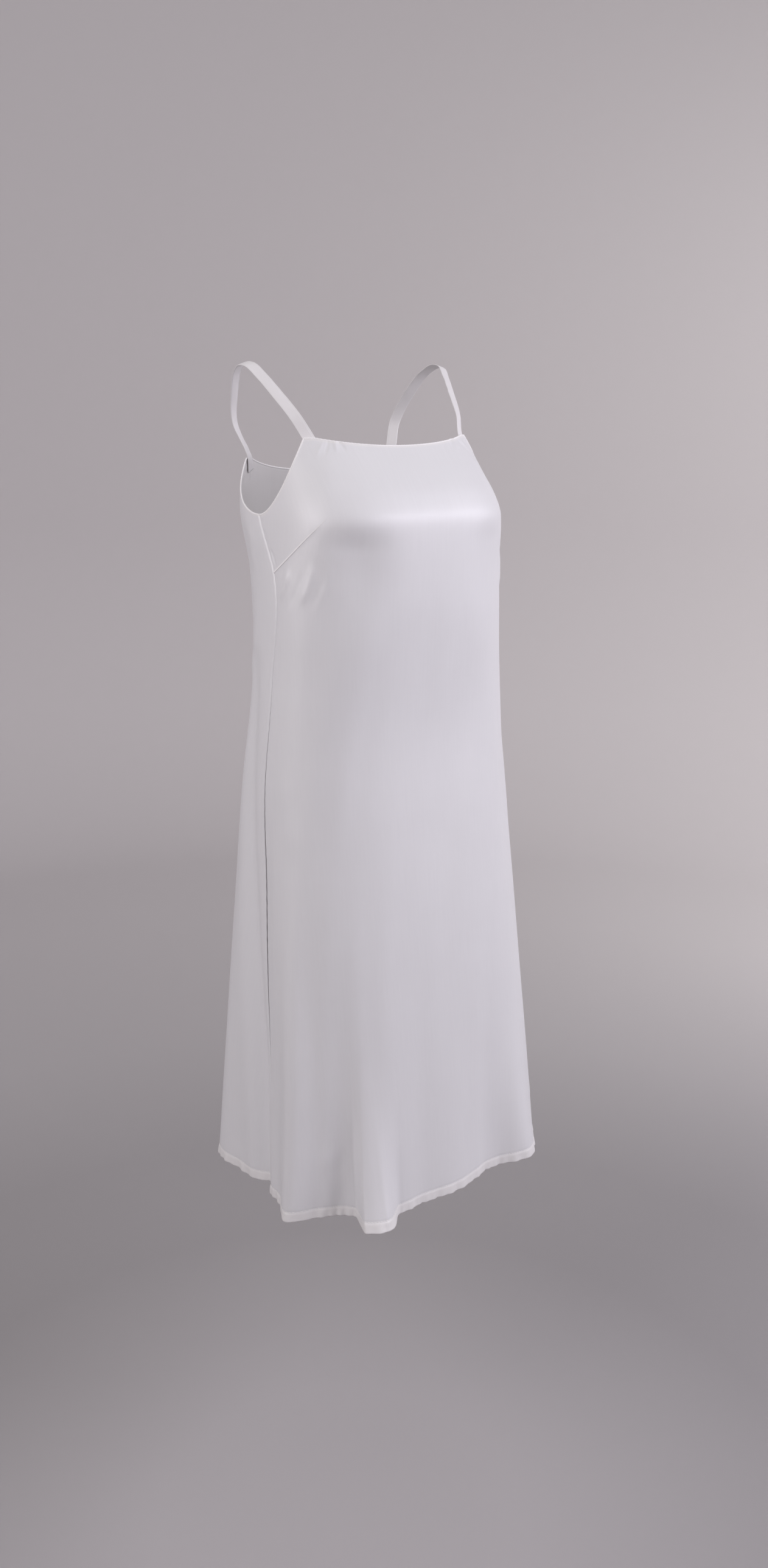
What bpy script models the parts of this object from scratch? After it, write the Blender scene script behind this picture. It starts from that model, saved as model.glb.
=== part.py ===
"""Satin slip dress with two shoulder straps, in the hollow shape that it has when worn.

Metres, +Z up.  The front faces -Y and the wearer's left is +X.  The origin is midway between the
tops of the two straps, where a pair of shoulders holds the dress up.  The dress is two lofted
panels that meet at the side seams, with two bust darts, a narrow turned-up hem and flat straps.
"""
import bmesh
import bpy
import numpy as np

# ---------------------------------------------------------------- driving dimensions

CLOTH = 0.0010               # wall of a panel
STRAP_CLOTH = 0.0012         # wall of a strap, which is cloth folded double
SEAM_GAP = 0.0003            # clear space between two pieces at a seam
LAYER_GAP = 0.0006           # clear space between a panel and its turned-up hem
INSIDE_GAP = 0.0022          # the same for a strap end or a dart, whose flats lie otherwise

HEM_LEVEL = -0.925           # the lower edge
HEM_TURN = 0.011             # height of the turned-up hem
UNDERARM_FRONT = -0.1545     # lowest point of an armhole
UNDERARM_BACK = -0.1545
NECK_JOINT_FRONT = -0.0755   # where a strap meets the front neckline
NECK_JOINT_BACK = -0.1000    # where a strap meets the back neckline
NECK_DIP_FRONT = 0.0085      # how far the middle of the neckline hangs below the strap joints
NECK_DIP_BACK = 0.0160
ARMHOLE_FRONT_CURVE = 1.8    # 1 is a straight armhole edge, more is scooped out at the bottom
ARMHOLE_BACK_CURVE = 2.0

STRAP_WIDTH = 0.012
STRAP_INSIDE = 0.014         # length of strap that is sewn down inside a panel
STRAP_PLACE_FRONT = 0.206    # middle of the strap, of the way across the panel
STRAP_PLACE_BACK = 0.225
STRAP_SHARE = 0.034          # the strap's width as a part of a panel's upper edge
STRAP_LEAN = 0.022           # how far its sewn end leans towards the middle of the panel
SHOULDER_HALF = 0.129        # from the middle of the neck to the top of a strap
SHOULDER_SLOPE = 0.35        # how far the shoulder falls for each metre outwards

DART_DEPTH = 0.014           # width of the folded cloth inside a dart, at the side seam
DART_TIP_DEPTH = 0.0015
DART_SEAM_LEVEL = -0.208
DART_TIP_LEVEL = -0.160
DART_START_PLACE = 0.020     # of the way across the front panel
DART_TIP_PLACE = 0.215

PANEL_ROWS = 23
FRONT_COLUMNS = (8, 2, 11, 13, 2, 8)    # armhole, strap, pointed fold, front, strap, armhole
BACK_COLUMNS = (7, 2, 3, 14, 2, 8)
BUSY_PLACE = 0.36            # end of the stretch with close columns
SEAM_PLACE = 0.006           # a column close beside each seam, so that the two walls meet flat
ROW_CROWDING = 1.4           # more than 1 crowds the rows towards the bust
DART_ROWS, DART_COLUMNS = 4, 9
STRAP_ROWS = 24              # between its two sewn ends
OUTLINE_STEPS = 360          # round half a section, to measure distances along it
SLOPE_REACH = 0.004          # distance each way over which the slope of the cloth is read

# The worn shape, level by level: height, half width, depth of the side seam, of the front and
# of the back, and how square the front and the back sections are (2 is an ellipse).
SECTIONS = np.array([
    (-0.060, 0.127, -0.014, -0.086, 0.066, 2.9, 2.3),    # above the neckline
    (-0.085, 0.130, -0.018, -0.106, 0.074, 2.9, 2.3),    # neckline
    (-0.115, 0.133, -0.024, -0.134, 0.081, 3.0, 2.3),    # upper bust
    (-0.150, 0.138, -0.034, -0.158, 0.085, 3.2, 2.3),    # fullest bust and underarm
    (-0.215, 0.141, -0.068, -0.150, 0.073, 2.8, 2.3),    # below the bust
    (-0.330, 0.146, -0.068, -0.151, 0.059, 2.7, 2.3),    # waist
    (-0.460, 0.156, -0.062, -0.161, 0.074, 2.7, 2.4),    # hips
    (-0.620, 0.165, -0.068, -0.179, 0.097, 2.7, 2.4),    # thighs
    (-0.780, 0.172, -0.080, -0.196, 0.110, 2.8, 2.5),    # knees
    (-0.925, 0.177, -0.086, -0.210, 0.118, 3.0, 2.5),    # hem
])

# Folds that hang from the body and grow towards the hem: place where it starts and at the hem,
# across the panel from the wearer's right side, height at the hem, half width as a part of the
# panel, and the level it starts at.
FRONT_FOLDS = (
    (0.115, 0.115, 0.021, 0.048, -0.46),      # round ridge in front of the right side seam
    (0.215, 0.215, -0.013, 0.040, -0.66),
    (0.330, 0.340, 0.006, 0.050, -0.60),
    (0.500, 0.500, 0.004, 0.050, -0.50),
    (0.620, 0.630, -0.011, 0.070, -0.66),
    (0.730, 0.740, 0.012, 0.050, -0.74),
    (0.885, 0.885, 0.004, 0.050, -0.50),
)
POINTED_FOLD = (0.270, 0.287, 0.031, 0.030, -0.70)    # flat along its top, steep at its sides
BACK_FOLDS = (
    (0.150, 0.165, 0.017, 0.055, -0.56),      # flare behind the right side seam
    (0.290, 0.290, -0.012, 0.055, -0.50),
    (0.390, 0.390, 0.014, 0.050, -0.48),
    (0.500, 0.500, -0.012, 0.055, -0.46),
    (0.615, 0.615, 0.015, 0.050, -0.52),
    (0.720, 0.720, -0.011, 0.055, -0.50),
    (0.850, 0.840, 0.014, 0.055, -0.48),      # flare behind the left side seam
)
# Folds along both side seams, in metres behind the seam.
SEAM_FOLDS = (
    (0.004, 0.000, 0.003, 0.018, -0.30),
    (0.046, 0.014, -0.014, 0.018, -0.30),
)
FOLD_GROWTH = 1.3            # 1 makes a fold grow evenly down to the hem
SEAM_FOLD_GROWTH = 0.6       # less than 1 makes it grow early and then slowly

COLOURS = {
    "panel": (0.80, 0.79, 0.80, 1.0),
    "strap": (0.82, 0.80, 0.79, 1.0),
    "turning": (0.84, 0.82, 0.80, 1.0),
}
SATIN_ROUGHNESS = 0.38

# ---------------------------------------------------------------- the worn surface


def smooth_between(knots, values, at):
    """Cubic curve through (knots, values) with rising knots, read at any points."""
    step = np.diff(knots)
    rise = np.diff(values) / step
    slope = np.empty(len(values))
    slope[0], slope[-1] = rise[0], rise[-1]
    slope[1:-1] = (rise[:-1] * step[1:] + rise[1:] * step[:-1]) / (step[:-1] + step[1:])
    i = np.clip(np.searchsorted(knots, at) - 1, 0, len(step) - 1)
    t = (np.asarray(at) - knots[i]) / step[i]
    return ((1 + 2 * t) * (1 - t) ** 2 * values[i] + t * t * (3 - 2 * t) * values[i + 1]
            + t * (1 - t) * step[i] * ((1 - t) * slope[i] - t * slope[i + 1]))


def section_sizes(side, level):
    """Half width, seam depth, depth of the panel's middle beyond the seam, and squareness."""
    read = [smooth_between(-SECTIONS[:, 0], SECTIONS[:, k], -level) for k in range(1, 7)]
    half, seam, front, back, front_square, back_square = read
    if side == "front":
        return half, seam, front - seam, front_square
    return half, seam, back - seam, back_square


def fold_height(side, place, run, length, level):
    """How far the folds push the cloth out, where run is the distance along the section."""
    def one(fold, at, growth, power=2):
        start, end, height, width, top = fold
        grown = np.clip((top - level) / (top - HEM_LEVEL), 0.0, 1.0)
        middle = start + (end - start) * grown
        return height * grown ** growth * np.exp(-np.abs((at - middle) / width) ** power)

    folds = FRONT_FOLDS if side == "front" else BACK_FOLDS
    out = sum(one(fold, place, FOLD_GROWTH) for fold in folds)
    if side == "front":
        out = out + one(POINTED_FOLD, place, FOLD_GROWTH, power=4)
    behind = 1.0 if side == "back" else -1.0
    for from_seam in (run, length - run):
        out = out + sum(one(fold, behind * from_seam, SEAM_FOLD_GROWTH) for fold in SEAM_FOLDS)
    return out


def worn_point(side, place, level):
    """Points of a panel's outer face.

    place runs from 0 at the wearer's right seam to 1 at the left one, by length along the
    section at that level.  The section is half a superellipse; the folds are added outwards.
    """
    place, level = np.broadcast_arrays(np.asarray(place, float), np.asarray(level, float))
    shape = place.shape
    place, level = place.reshape(-1, 1), level.reshape(-1, 1)
    half, seam, depth, square = section_sizes(side, level)
    turn = np.linspace(0.0, np.pi, OUTLINE_STEPS + 1)[None, :]
    x = -half * np.sign(np.cos(turn)) * np.abs(np.cos(turn)) ** (2 / square)
    y = seam + depth * np.sin(turn) ** (2 / square)
    run = np.cumsum(np.hypot(np.diff(x), np.diff(y)), axis=1)
    run = np.concatenate([np.zeros_like(half), run], axis=1)
    length = run[:, -1:]
    want = SEAM_GAP / 2 + place * (length - SEAM_GAP)

    def along(distance):
        i = np.clip((run < distance).sum(axis=1, keepdims=True), 1, run.shape[1] - 1)
        run0, run1 = (np.take_along_axis(run, k, 1) for k in (i - 1, i))
        part = (distance - run0) / (run1 - run0)
        return [np.take_along_axis(v, i - 1, 1) * (1 - part) + np.take_along_axis(v, i, 1) * part
                for v in (x, y)]

    px, py = along(want)
    ax, ay = along(want - SLOPE_REACH)
    bx, by = along(want + SLOPE_REACH)
    dx, dy = bx - ax, by - ay
    size = np.hypot(dx, dy)
    outward = 1.0 if side == "front" else -1.0
    push = fold_height(side, place, want, length, level)
    px = px + outward * dy / size * push
    py = py - outward * dx / size * push
    return np.concatenate([px, py, level], axis=1).reshape(shape + (3,))


def inside_point(side, place, level, inward):
    """Points of the outer face moved inwards, square to the folded cloth."""
    place, level = np.broadcast_arrays(np.asarray(place, float), np.asarray(level, float))
    reach = SLOPE_REACH
    sideways = worn_point(side, place + reach, level) - worn_point(side, place - reach, level)
    upwards = worn_point(side, place, level + reach) - worn_point(side, place, level - reach)
    outward = np.cross(sideways, upwards) * (1.0 if side == "front" else -1.0)
    outward /= np.linalg.norm(outward, axis=-1, keepdims=True)
    return worn_point(side, place, level) - outward * inward


def strap_edges(side):
    """Places of the two edges of the right strap, from the side to the middle of the panel."""
    middle = STRAP_PLACE_FRONT if side == "front" else STRAP_PLACE_BACK
    return middle - STRAP_SHARE / 2, middle + STRAP_SHARE / 2


def top_edge(side, place):
    """Level of a panel's upper edge: armhole, strap joint, neckline, strap joint, armhole."""
    front = side == "front"
    underarm = UNDERARM_FRONT if front else UNDERARM_BACK
    joint = NECK_JOINT_FRONT if front else NECK_JOINT_BACK
    dip = NECK_DIP_FRONT if front else NECK_DIP_BACK
    curve = ARMHOLE_FRONT_CURVE if front else ARMHOLE_BACK_CURVE
    outer, inner = strap_edges(side)
    from_side = np.minimum(place, 1 - place)
    armhole = underarm + (joint - underarm) * np.clip(from_side / outer, 0, 1) ** curve
    across = np.clip((0.5 - from_side) / (0.5 - inner), 0, 1)
    return np.where(from_side < outer, armhole, joint - dip * (1 - across ** 2))


# ---------------------------------------------------------------- objects


def satin(name, colour):
    """A plain dull satin, one for each piece."""
    material = bpy.data.materials.new(name)
    material.use_nodes = True
    shader = material.node_tree.nodes["Principled BSDF"]
    shader.inputs["Base Color"].default_value = colour
    shader.inputs["Roughness"].default_value = SATIN_ROUGHNESS
    shader.inputs["Metallic"].default_value = 0.0
    return material


def cloth(name, points, wall, colour):
    """A wall of cloth from a grid of points, rows going up and columns to the left.

    Seen from outside, the columns go from left to right, so that the faces point outwards and
    the wall grows inwards from them.
    """
    rows, columns = points.shape[:2]
    grid = bmesh.new()
    bmesh.ops.create_grid(grid, x_segments=columns - 1, y_segments=rows - 1, size=1.0)
    for vertex in grid.verts:
        column = round((vertex.co.x + 1) / 2 * (columns - 1))
        row = round((vertex.co.y + 1) / 2 * (rows - 1))
        vertex.co = points[row, column]
    mesh = bpy.data.meshes.new(name)
    grid.to_mesh(mesh)
    grid.free()
    mesh.shade_smooth()
    mesh.materials.append(satin(name + "_satin", colour))
    piece = bpy.data.objects.new(name, mesh)
    dress.objects.link(piece)
    piece.parent = held
    thickness = piece.modifiers.new("wall", "SOLIDIFY")
    thickness.thickness = wall
    thickness.offset = -1.0
    return piece


def outside_order(side, points):
    """The back is seen from behind, so its columns run the other way."""
    return points if side == "front" else points[:, ::-1]


def panel_columns(side):
    """Places of the columns, with one exactly at each edge of each strap."""
    outer, inner = strap_edges(side)
    stops = (0, outer, inner, BUSY_PLACE, 1 - inner, 1 - outer, 1)
    counts = FRONT_COLUMNS if side == "front" else BACK_COLUMNS
    runs = [np.linspace(a, b, n, endpoint=False) for a, b, n in zip(stops, stops[1:], counts)]
    return np.sort(np.concatenate(runs + [[SEAM_PLACE, 1 - SEAM_PLACE, 1.0]]))


def panel(side):
    """Rows from the hem's folded edge and its stitching up to the neckline and armholes."""
    place = panel_columns(side)[None, :]
    top = top_edge(side, place)
    down = (np.linspace(0, 1, PANEL_ROWS - 1) ** ROW_CROWDING)[:, None]
    level = top + (HEM_LEVEL + HEM_TURN - top) * down
    level = np.concatenate([level, np.full_like(top, HEM_LEVEL)])[::-1]
    cloth(side + "_panel", outside_order(side, worn_point(side, place, level)), CLOTH,
          COLOURS["panel"])


def hem(side):
    """The panel's own lowest rows, moved in by its wall and a gap."""
    place = panel_columns(side)[None, :]
    level = np.array([HEM_LEVEL, HEM_LEVEL + HEM_TURN])[:, None]
    points = inside_point(side, place, level, CLOTH + LAYER_GAP)
    cloth("hem_" + side, outside_order(side, points), CLOTH, COLOURS["turning"])


def dart(hand):
    """The cloth folded away inside a bust dart: widest at the side seam, pressed downwards."""
    along = np.linspace(0, 1, DART_COLUMNS)[None, :]
    across = np.linspace(1, 0, DART_ROWS)[:, None]
    place = DART_START_PLACE + (DART_TIP_PLACE - DART_START_PLACE) * along
    line = DART_SEAM_LEVEL + (DART_TIP_LEVEL - DART_SEAM_LEVEL) * along
    depth = DART_DEPTH + (DART_TIP_DEPTH - DART_DEPTH) * along
    points = inside_point("front", place, line - depth * across, CLOTH + INSIDE_GAP)
    if hand == "left":
        points = (points * (-1, 1, 1))[:, ::-1]
    cloth("dart_" + hand, points, CLOTH, COLOURS["turning"])


def strap_route():
    """Middle of the left strap from the front neckline, over the shoulder, to the back."""
    return np.array([
        (0.1085, -0.0640, -0.0540),
        (0.1165, -0.0420, -0.0310),
        (0.1235, -0.0220, -0.0120),
        (0.1280, -0.0080, -0.0015),
        (SHOULDER_HALF, 0.0040, 0.0000),
        (0.1265, 0.0200, -0.0070),
        (0.1195, 0.0400, -0.0290),
        (0.1100, 0.0570, -0.0620),
    ])


def sewn_end(side):
    """Three rows of the left strap behind a panel, from its end up to just under the edge."""
    outer, inner = strap_edges(side)
    joint = NECK_JOINT_FRONT if side == "front" else NECK_JOINT_BACK
    down = np.linspace(STRAP_INSIDE, 0.001, 3)[:, None]
    place = np.linspace(1 - inner, 1 - outer, 3)[None, :] - STRAP_LEAN * down / STRAP_INSIDE
    return inside_point(side, place, joint - down, CLOTH + INSIDE_GAP)


def strap(hand):
    """A flat strip: the two sewn ends, and rows along a smooth curve between them."""
    start = sewn_end("front")
    end = sewn_end("back")[::-1]
    knots = np.concatenate([start[1:, 1], strap_route(), end[:-1, 1]])
    run = np.concatenate([[0], np.cumsum(np.linalg.norm(np.diff(knots, axis=0), axis=1))])
    at = np.linspace(run[1], run[-2], STRAP_ROWS + 2)[1:-1]
    middle = np.stack([smooth_between(run, knots[:, k], at) for k in range(3)], axis=1)
    ahead = np.gradient(middle, axis=0)
    ahead /= np.linalg.norm(ahead, axis=1, keepdims=True)

    # The strap's width follows the neckline at its ends and the slope of the shoulder on top.
    turns = np.array([start[2, 2] - start[2, 0], (STRAP_WIDTH, 0, -SHOULDER_SLOPE * STRAP_WIDTH),
                      end[0, 2] - end[0, 0]])
    turn_at = run[[1, 6, -2]]
    across = np.stack([smooth_between(turn_at, turns[:, k], at) for k in range(3)], axis=1)
    across -= (across * ahead).sum(axis=1, keepdims=True) * ahead
    across /= np.linalg.norm(across, axis=1, keepdims=True)
    offsets = np.array([-0.5, 0.0, 0.5]) * STRAP_WIDTH
    free = middle[:, None, :] + across[:, None, :] * offsets[None, :, None]
    points = np.concatenate([start, free, end])
    if hand == "right":
        points = (points * (-1, 1, 1))[:, ::-1]
    cloth("strap_" + hand, points, STRAP_CLOTH, COLOURS["strap"])


for old in list(bpy.data.objects):
    bpy.data.objects.remove(old, do_unlink=True)

dress = bpy.data.collections.new("satin_slip_dress")
bpy.context.scene.collection.children.link(dress)
held = bpy.data.objects.new("held_at_the_shoulders", None)
dress.objects.link(held)

for panel_side in ("front", "back"):
    panel(panel_side)
    hem(panel_side)
for wearer_hand in ("right", "left"):
    strap(wearer_hand)
    dart(wearer_hand)
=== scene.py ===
# %% [markdown]
# # A satin slip dress, hollow as it is when worn
# The real thing is two soft panels of silk satin, sewn together down the sides, with a bust
# dart at each side, a narrow turned-up hem and two flat straps.  Nothing stands inside it here: it
# keeps the shape that a wearer gives it, and its neck, armholes and hem are open.
# The model that comes with the frame is a plain faceted wall.  Everything below repeats that
# wall's formula on a much finer grid and adds the dart, the drag folds, the gathers, the seam and
# the stitching, then gives each cloth its own satin.

# %% Load the frame
from math import radians

import bpy
import numpy as np
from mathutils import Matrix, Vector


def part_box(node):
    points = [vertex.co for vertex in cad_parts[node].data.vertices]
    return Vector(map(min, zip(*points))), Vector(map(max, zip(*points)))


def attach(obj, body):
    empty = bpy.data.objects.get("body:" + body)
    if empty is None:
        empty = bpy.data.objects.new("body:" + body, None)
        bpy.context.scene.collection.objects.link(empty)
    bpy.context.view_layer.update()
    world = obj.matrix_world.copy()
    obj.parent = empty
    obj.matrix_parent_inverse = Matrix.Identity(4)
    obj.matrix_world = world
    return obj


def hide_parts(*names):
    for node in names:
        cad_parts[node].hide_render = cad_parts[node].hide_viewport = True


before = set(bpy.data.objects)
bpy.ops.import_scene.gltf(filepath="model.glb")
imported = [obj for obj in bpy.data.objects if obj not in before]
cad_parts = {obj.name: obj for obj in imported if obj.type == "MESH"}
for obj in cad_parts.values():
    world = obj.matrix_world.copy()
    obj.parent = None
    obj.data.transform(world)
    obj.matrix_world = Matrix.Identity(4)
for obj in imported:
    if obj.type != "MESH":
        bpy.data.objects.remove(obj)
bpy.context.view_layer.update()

# %% [markdown]
# ## The camera
# A dress is best shown from a little above the shoulders and from the wearer's right front, with
# a long enough lens that the hem doesn't swell.  The camera is made first, so that every later
# choice of detail can be judged from it.

# %% Camera
CAMERA_PLACE = (-0.9257, -1.3460, -0.0325)
CAMERA_TURN = (radians(74.63), 0.0, radians(-36.0))
LENS = 32.483
SENSOR = 36.0

camera_data = bpy.data.cameras.new("camera")
camera_data.lens = LENS
camera_data.sensor_width = SENSOR
camera = bpy.data.objects.new("camera", camera_data)
camera.location = CAMERA_PLACE
camera.rotation_euler = CAMERA_TURN
bpy.context.scene.collection.objects.link(camera)
bpy.context.scene.camera = camera
print("camera at", CAMERA_PLACE, "with a lens of", LENS, "mm")

# %% [markdown]
# ## The worn shape
# A body in a slip can be described by its cross-sections.  Each section here is two half
# superellipses, one for the front and one for the back, that meet at the side seams.  Ten levels
# are enough, because a smooth curve through them gives every level between.
# The sizes are the ones that the plain wall was made from, so the fine cloth lies on it.

# %% Sections of the worn shape
# Height, half width, depth of the side seam, of the front and of the back, and how square the
# front and the back are (2 is an ellipse).
SECTIONS = np.array([
    (-0.060, 0.127, -0.014, -0.086, 0.066, 2.9, 2.3),    # above the neckline
    (-0.085, 0.130, -0.018, -0.106, 0.074, 2.9, 2.3),    # neckline
    (-0.115, 0.133, -0.024, -0.134, 0.081, 3.0, 2.3),    # upper bust
    (-0.150, 0.138, -0.034, -0.158, 0.085, 3.2, 2.3),    # fullest bust and underarm
    (-0.215, 0.141, -0.068, -0.150, 0.073, 2.8, 2.3),    # below the bust
    (-0.330, 0.146, -0.068, -0.151, 0.059, 2.7, 2.3),    # waist
    (-0.460, 0.156, -0.062, -0.161, 0.074, 2.7, 2.4),    # hips
    (-0.620, 0.165, -0.068, -0.179, 0.097, 2.7, 2.4),    # thighs
    (-0.780, 0.172, -0.080, -0.196, 0.110, 2.8, 2.5),    # knees
    (-0.925, 0.177, -0.086, -0.210, 0.118, 3.0, 2.5),    # hem
])
HEM_LEVEL = round(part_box("front_panel")[0][2], 4)
HEM_TURN = 0.011
SIDES, HANDS = ("front", "back"), ("right", "left")


def smooth_between(knots, values, at):
    """Cubic curve through (knots, values): each piece is a Hermite cubic whose end slopes are
    the weighted means of the slopes on both sides."""
    step = np.diff(knots)
    rise = np.diff(values) / step
    slope = np.empty(len(values))
    slope[0], slope[-1] = rise[0], rise[-1]
    slope[1:-1] = (rise[:-1] * step[1:] + rise[1:] * step[:-1]) / (step[:-1] + step[1:])
    i = np.clip(np.searchsorted(knots, at) - 1, 0, len(step) - 1)
    t = (np.asarray(at) - knots[i]) / step[i]
    return ((1 + 2 * t) * (1 - t) ** 2 * values[i] + t * t * (3 - 2 * t) * values[i + 1]
            + t * (1 - t) * step[i] * ((1 - t) * slope[i] - t * slope[i + 1]))


def section_sizes(side, level):
    """Half width, seam depth, depth of the middle beyond the seam, and squareness at a level."""
    half, seam, front, back, front_square, back_square = (
        smooth_between(-SECTIONS[:, 0], SECTIONS[:, k], -level) for k in range(1, 7))
    if side == "front":
        return half, seam, front - seam, front_square
    return half, seam, back - seam, back_square


print("hem level", HEM_LEVEL, "with", len(SECTIONS), "sections")

# %% [markdown]
# Cloth is measured along itself, so a point is named by its *place*, from 0 at the wearer's right
# seam to 1 at the left one by length along the section, and by its level.  Length along a
# superellipse has no formula.  So each section is walked once in small steps, read again at equal
# lengths, and kept in a table that any number of points can be read from at once.

# %% Table of outlines
TABLE_LEVELS = np.linspace(HEM_LEVEL - 0.006, -0.050, 700)
TABLE_PLACES = np.linspace(0, 1, 901)


def outline_table(side):
    """x and y of the section at each level and place, and its length.

    x is -half * cos(t) and y is seam + depth * sin(t), each to the power 2 / squareness, with t
    from 0 to pi; the points are then read at equal shares of the walked length."""
    half, seam, depth, square = section_sizes(side, TABLE_LEVELS[:, None])
    t = np.linspace(0, np.pi, 2401)[None, :]
    x = -half * np.sign(np.cos(t)) * np.abs(np.cos(t)) ** (2 / square)
    y = seam + depth * np.sin(t) ** (2 / square)
    walked = np.cumsum(np.hypot(np.diff(x), np.diff(y)), axis=1)
    walked = np.concatenate([np.zeros_like(half), walked], axis=1)
    length = walked[:, -1:]
    row = 2.0 * np.arange(len(TABLE_LEVELS))[:, None]
    want, have = (TABLE_PLACES + row).ravel(), (walked / length + row).ravel()
    shape = (len(TABLE_LEVELS), len(TABLE_PLACES))
    return [np.interp(want, have, v.ravel()).reshape(shape) for v in (x, y)], length[:, 0]


TABLES = {side: outline_table(side) for side in SIDES}
for side in SIDES:
    print(side, "girth at the hem", round(float(TABLES[side][1][4]), 4), "m")


def read_outline(side, place, level):
    """x, y, the outward direction, and the length of the section, read between table points.

    The outward direction of a superellipse is (x to the power n - 1, y to the power n - 1), with
    x and y as shares of its half width and depth, each divided by that half width or depth."""
    (xs, ys), lengths = TABLES[side]
    u = np.clip(place, 0, 1) * (len(TABLE_PLACES) - 1)
    v = np.interp(level, TABLE_LEVELS, np.arange(len(TABLE_LEVELS)))
    i = np.minimum(u.astype(int), len(TABLE_PLACES) - 2)
    j = np.minimum(v.astype(int), len(TABLE_LEVELS) - 2)
    u, v = u - i, v - j

    def read(table):
        low = table[j, i] * (1 - u) + table[j, i + 1] * u
        high = table[j + 1, i] * (1 - u) + table[j + 1, i + 1] * u
        return low * (1 - v) + high * v

    x, y = read(xs), read(ys)
    half, seam, depth, square = section_sizes(side, level)
    across = np.sign(x) * np.minimum(np.abs(x / half), 1) ** (square - 1) / half
    forward = np.clip((y - seam) / depth, 0, 1) ** (square - 1) / depth
    size = np.hypot(across, forward)
    return x, y, across / size, forward / size, np.interp(level, TABLE_LEVELS, lengths)


# %% [markdown]
# ## The large folds
# A skirt that is wider at the hem than at the hips falls in folds.  Each one is a soft bell across
# the cloth that is nothing at its top level and grows as it comes down.  The folds are nearly
# those of the plain wall.  The round ridge is a little narrower, with a shallow trough beside it
# and a low ridge further on, and the pointed fold has a steep side and a gentle one, as cloth has
# where it folds over on itself.

# %% Large folds
# Place at the start and at the hem, height at the hem, half width as a share of the panel, top
# level.
FOLDS = {
    "front": (
        (0.112, 0.112, 0.023, 0.039, -0.46),      # round ridge in front of the right side seam
        (0.154, 0.154, -0.004, 0.024, -0.50),
        (0.215, 0.215, -0.011, 0.040, -0.62),
        (0.262, 0.275, 0.003, 0.028, -0.46),
        (0.330, 0.340, 0.006, 0.050, -0.60),
        (0.500, 0.500, 0.004, 0.050, -0.50),
        (0.620, 0.630, -0.011, 0.070, -0.66),
        (0.730, 0.740, 0.012, 0.050, -0.74),
        (0.885, 0.885, 0.004, 0.050, -0.50),
    ),
    "back": (
        (0.150, 0.165, 0.017, 0.055, -0.56),      # flare behind the right side seam
        (0.290, 0.290, -0.012, 0.055, -0.50),
        (0.390, 0.390, 0.014, 0.050, -0.48),
        (0.500, 0.500, -0.012, 0.055, -0.46),
        (0.615, 0.615, 0.015, 0.050, -0.52),
        (0.720, 0.720, -0.011, 0.055, -0.50),
        (0.850, 0.840, 0.014, 0.055, -0.48),      # flare behind the left side seam
    ),
}
POINTED_FOLD = (0.2525, 0.300, 0.345, 0.031, -0.66)    # steep edge, crest, foot, height, top
SEAM_FOLDS = (                                    # in metres behind the side seam
    (0.004, 0.000, 0.003, 0.018, -0.30),
    (0.046, 0.014, -0.017, 0.016, -0.30),
)


def bell(at, middle, width):
    """1 at the middle, falling to about a third one width away: exp(-(distance / width)^2)."""
    return np.exp(-((at - middle) / width) ** 2)


def ramp(at, start, end):
    """0 before start, 1 after end, and a smooth cubic step 3t^2 - 2t^3 between."""
    t = np.clip((at - start) / (end - start), 0, 1)
    return t * t * (3 - 2 * t)


def one_fold(fold, at, level, growth):
    """Height times grown^growth times a bell, whose middle moves as the fold comes down."""
    start, end, height, width, top = fold
    grown = np.clip((top - level) / (top - HEM_LEVEL), 0, 1)
    return height * grown ** growth * bell(at, start + (end - start) * grown, width)


def pointed_fold(place, level):
    """A step up over a few millimetres, then a slope down; both are softer higher up."""
    edge, crest, foot, height, top = POINTED_FOLD
    grown = np.clip((top - level) / (top - HEM_LEVEL), 0, 1)
    soft = 0.0035 + 0.030 * (1 - grown) ** 1.5
    rise = ramp(place, edge - soft, edge + soft)
    return height * grown ** 3 * rise * (1 - ramp(place, crest - soft, foot + soft))


def large_folds(side, place, length, level):
    """Sum of the panel's folds, of the pointed one, and of those along both side seams."""
    out = sum(one_fold(fold, place, level, 1.3) for fold in FOLDS[side])
    if side == "front":
        out = out + pointed_fold(place, level)
    behind = 1.0 if side == "back" else -1.0
    for from_seam in (place * length, (1 - place) * length):
        out = out + sum(one_fold(fold, behind * from_seam, level, 0.6) for fold in SEAM_FOLDS)
    return out


print("folds:", {side: len(FOLDS[side]) for side in SIDES}, "and", len(SEAM_FOLDS), "at each seam")

# %% [markdown]
# ## The upper edge
# The edge runs up the armhole, across the strap joint, along the neckline and down again.  An
# armhole is scooped, so its edge is a power of the distance from the seam; the neckline hangs
# slightly between the straps, as a shallow parabola.

# %% Upper edge
UNDERARM = -0.1545
EDGE = {    # strap joint level, dip of the neckline, scoop of the armhole, middle of the strap
    "front": (-0.0755, 0.0085, 1.8, 0.206),
    "back": (-0.1000, 0.0160, 2.0, 0.225),
}
STRAP_SHARE = 0.034


def strap_edges(side):
    """Places of the right strap's two edges, from the side to the middle of the panel."""
    middle = EDGE[side][3]
    return middle - STRAP_SHARE / 2, middle + STRAP_SHARE / 2


def top_edge(side, place):
    """Underarm + rise * share^scoop up the armhole, then joint - dip * (1 - across^2)."""
    joint, dip, scoop, _ = EDGE[side]
    outer, inner = strap_edges(side)
    from_side = np.minimum(place, 1 - place)
    armhole = UNDERARM + (joint - UNDERARM) * np.clip(from_side / outer, 0, 1) ** scoop
    across = np.clip((0.5 - from_side) / (0.5 - inner), 0, 1)
    return np.where(from_side < outer, armhole, joint - dip * (1 - across ** 2))


print("neckline dips", EDGE["front"][1], "m between the straps")

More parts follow.
